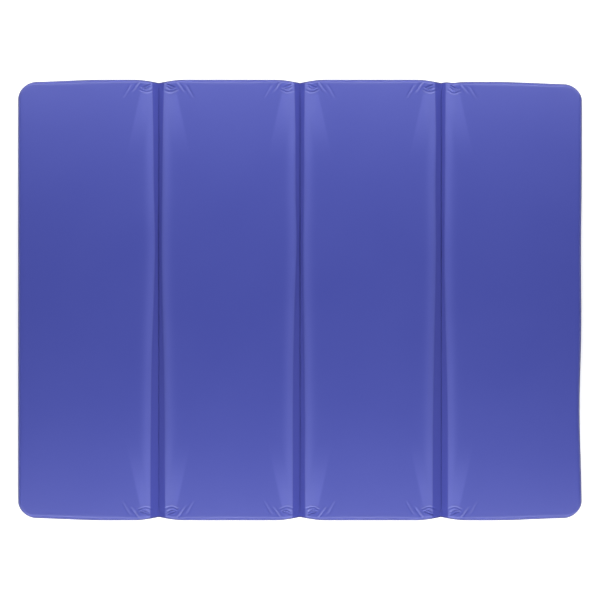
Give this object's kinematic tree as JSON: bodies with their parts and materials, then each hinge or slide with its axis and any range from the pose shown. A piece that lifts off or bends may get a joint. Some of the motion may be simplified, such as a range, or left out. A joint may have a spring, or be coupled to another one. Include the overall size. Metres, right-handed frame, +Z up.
{
  "type": "folding gym mat",
  "caption": "Padded exercise mat of foam panels side by side in a vinyl cover, joined by sewn folds so it closes in a zigzag.",
  "frame": {"origin": "middle of the underside of the open mat", "axes": "+X across the panels from panel 1 to panel 4, +Y along the folds, +Z up through the thickness"},
  "size_m": [1.5346, 1.2, 0.0312],
  "materials": {
    "vinyl": "semi-gloss coated fabric, fine grain",
    "binding": "satin coated tape",
    "foam": "closed-cell foam, matt",
    "webbing": "woven polyester tape",
    "thread": "twisted nylon thread"
  },
  "bodies": {
    "panel_1": {"foam_core_1": "foam", "top_skin_1": "vinyl", "bottom_skin_1": "vinyl", "edge_binding_1": "binding"},
    "panel_2": {"foam_core_2": "foam", "top_skin_2": "vinyl", "bottom_skin_2": "vinyl", "edge_binding_2": "binding"},
    "panel_3": {"foam_core_3": "foam", "top_skin_3": "vinyl", "bottom_skin_3": "vinyl", "edge_binding_3": "binding"},
    "panel_4": {"foam_core_4": "foam", "top_skin_4": "vinyl", "bottom_skin_4": "vinyl", "edge_binding_4": "binding"},
    "fold_web_1": {"fold_tape_1": "webbing", "fold_upper_ply_1": "vinyl", "fold_lower_ply_1": "vinyl", "fold_stitching_1": "thread"},
    "fold_web_2": {"fold_tape_2": "webbing", "fold_upper_ply_2": "vinyl", "fold_lower_ply_2": "vinyl", "fold_stitching_2": "thread"},
    "fold_web_3": {"fold_tape_3": "webbing", "fold_upper_ply_3": "vinyl", "fold_lower_ply_3": "vinyl", "fold_stitching_3": "thread"}
  },
  "joints": [
    {"name": "fold_1_left_crease", "type": "hinge", "parent": "panel_1", "child": "fold_web_1", "pos_m": [-0.4005, 0, 0.0156], "axis": [0, -1, 0], "range_deg": [0, 90]},
    {"name": "fold_1_right_crease", "type": "hinge", "parent": "fold_web_1", "child": "panel_2", "pos_m": [-0.3675, 0, 0.0156], "axis": [0, -1, 0], "range_deg": [0, 90]},
    {"name": "fold_2_left_crease", "type": "hinge", "parent": "panel_2", "child": "fold_web_2", "pos_m": [-0.0165, 0, 0.0156], "axis": [0, 1, 0], "range_deg": [0, 90]},
    {"name": "fold_2_right_crease", "type": "hinge", "parent": "fold_web_2", "child": "panel_3", "pos_m": [0.0165, 0, 0.0156], "axis": [0, 1, 0], "range_deg": [0, 90]},
    {"name": "fold_3_left_crease", "type": "hinge", "parent": "panel_3", "child": "fold_web_3", "pos_m": [0.3675, 0, 0.0156], "axis": [0, -1, 0], "range_deg": [0, 90]},
    {"name": "fold_3_right_crease", "type": "hinge", "parent": "fold_web_3", "child": "panel_4", "pos_m": [0.4005, 0, 0.0156], "axis": [0, -1, 0], "range_deg": [0, 90]}
  ]
}
